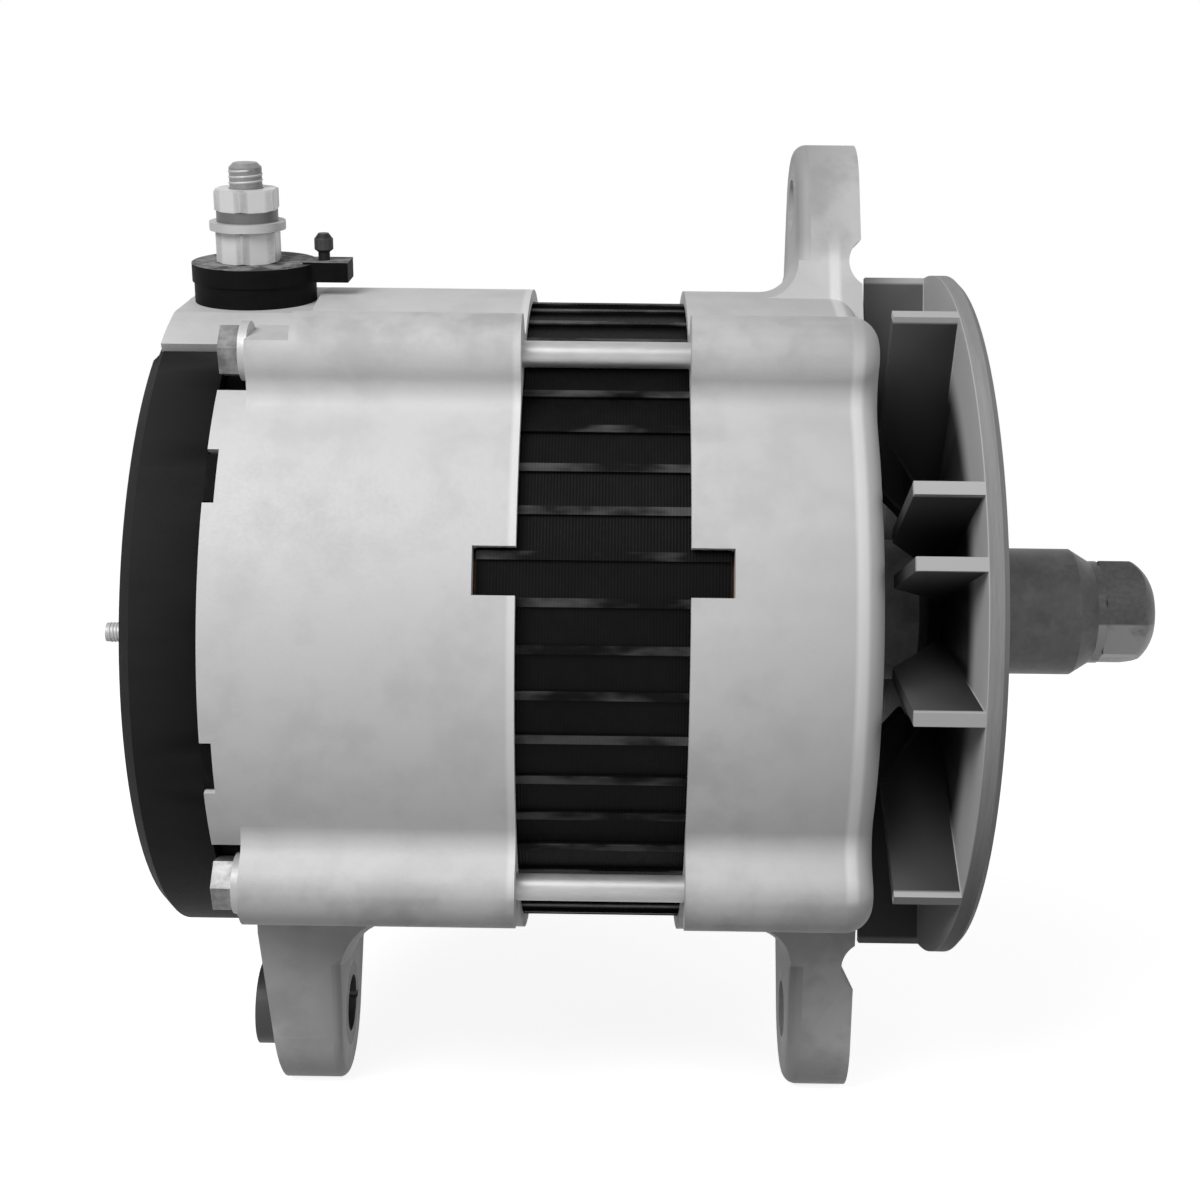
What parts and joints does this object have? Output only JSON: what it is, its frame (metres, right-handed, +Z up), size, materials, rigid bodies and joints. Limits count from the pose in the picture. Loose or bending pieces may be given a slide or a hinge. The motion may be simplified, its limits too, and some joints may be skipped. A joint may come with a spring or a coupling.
{
  "type": "hinge-mounted alternator",
  "caption": "Heavy-duty alternator: two cast housings on a ribbed stator, outside fan, hinge and adjusting lugs, black rear cover and stud terminal.",
  "frame": {"origin": "on the shaft axis, at the middle of the pulley collar", "axes": "+X along the shaft towards the shaft nut, +Z up through the adjusting lug, -Y towards the side with the output stud's lean"},
  "size_m": [0.2322, 0.1568, 0.2209],
  "materials": {
    "cast_aluminium": "sand-blasted die casting",
    "fan_metal": "cast fan, dull grey",
    "black_laminations": "varnished electrical steel",
    "winding_copper": "enamelled copper wire",
    "bare_copper": "bare copper",
    "zinc_steel": "zinc-plated steel",
    "dark_steel": "phosphated steel",
    "bearing_steel": "ground bearing steel",
    "black_plastic": "moulded, glass-filled",
    "brush_carbon": "copper graphite",
    "sink_aluminium": "pressed sheet"
  },
  "bodies": {
    "housing": {"front_housing": "cast_aluminium", "rear_housing": "cast_aluminium", "stator_core": "black_laminations", "stator_winding": "winding_copper", "stator_leads": "winding_copper", "through_bolts": "zinc_steel", "through_bolt_washers": "zinc_steel", "front_bearing_outer_ring": "bearing_steel", "rear_bearing_outer_ring": "bearing_steel", "bearing_retainer": "zinc_steel", "retainer_screws": "zinc_steel", "negative_heat_sink": "sink_aluminium", "positive_heat_sink": "sink_aluminium", "negative_diodes": "bare_copper", "positive_diodes": "bare_copper", "terminal_board": "black_plastic", "insulating_bushes": "black_plastic", "cover_studs": "zinc_steel", "cover_nuts": "zinc_steel", "cover_washers": "zinc_steel", "rear_cover": "black_plastic", "output_insulator": "black_plastic", "signal_pin": "dark_steel", "inner_insulating_washer": "black_plastic", "output_stud": "zinc_steel", "output_lower_nut": "zinc_steel", "output_plain_washer": "zinc_steel", "output_spring_washer": "zinc_steel", "output_upper_nut": "zinc_steel", "output_link": "bare_copper", "brush_holder": "black_plastic", "holder_screws": "zinc_steel", "voltage_regulator": "sink_aluminium", "regulator_screws": "zinc_steel", "front_brush_spring": "zinc_steel", "rear_brush_spring": "zinc_steel"},
    "rotor": {"shaft": "dark_steel", "shaft_key": "dark_steel", "front_claw_pole": "dark_steel", "rear_claw_pole": "dark_steel", "field_bobbin": "black_plastic", "field_coil": "winding_copper", "slip_ring_sleeve": "black_plastic", "slip_rings": "bare_copper", "front_bearing_inner_ring": "bearing_steel", "rear_bearing_inner_ring": "bearing_steel", "front_spacer": "dark_steel", "fan": "fan_metal", "pulley_collar": "dark_steel", "nut_washer": "dark_steel", "shaft_nut": "dark_steel"},
    "hinge_bush": {"hinge_bush": "dark_steel"},
    "front_brush": {"front_brush": "brush_carbon"},
    "rear_brush": {"rear_brush": "brush_carbon"}
  },
  "joints": [
    {"name": "rotor_spin", "type": "hinge", "parent": "housing", "child": "rotor", "pos_m": [0, 0, 0], "axis": [1, 0, 0], "continuous": true},
    {"name": "front_brush_slide", "type": "slide", "parent": "housing", "child": "front_brush", "axis": [0, 0, -1], "range_m": [0, 0.005], "stiffness_N_per_m": 600, "springref_m": -0.006, "deforming": ["front_brush_spring"]},
    {"name": "rear_brush_slide", "type": "slide", "parent": "housing", "child": "rear_brush", "axis": [0, 0, -1], "range_m": [0, 0.005], "stiffness_N_per_m": 600, "springref_m": -0.006, "deforming": ["rear_brush_spring"]},
    {"name": "hinge_bush_slide", "type": "slide", "parent": "housing", "child": "hinge_bush", "axis": [1, 0, 0], "range_m": [0, 0.003]}
  ]
}
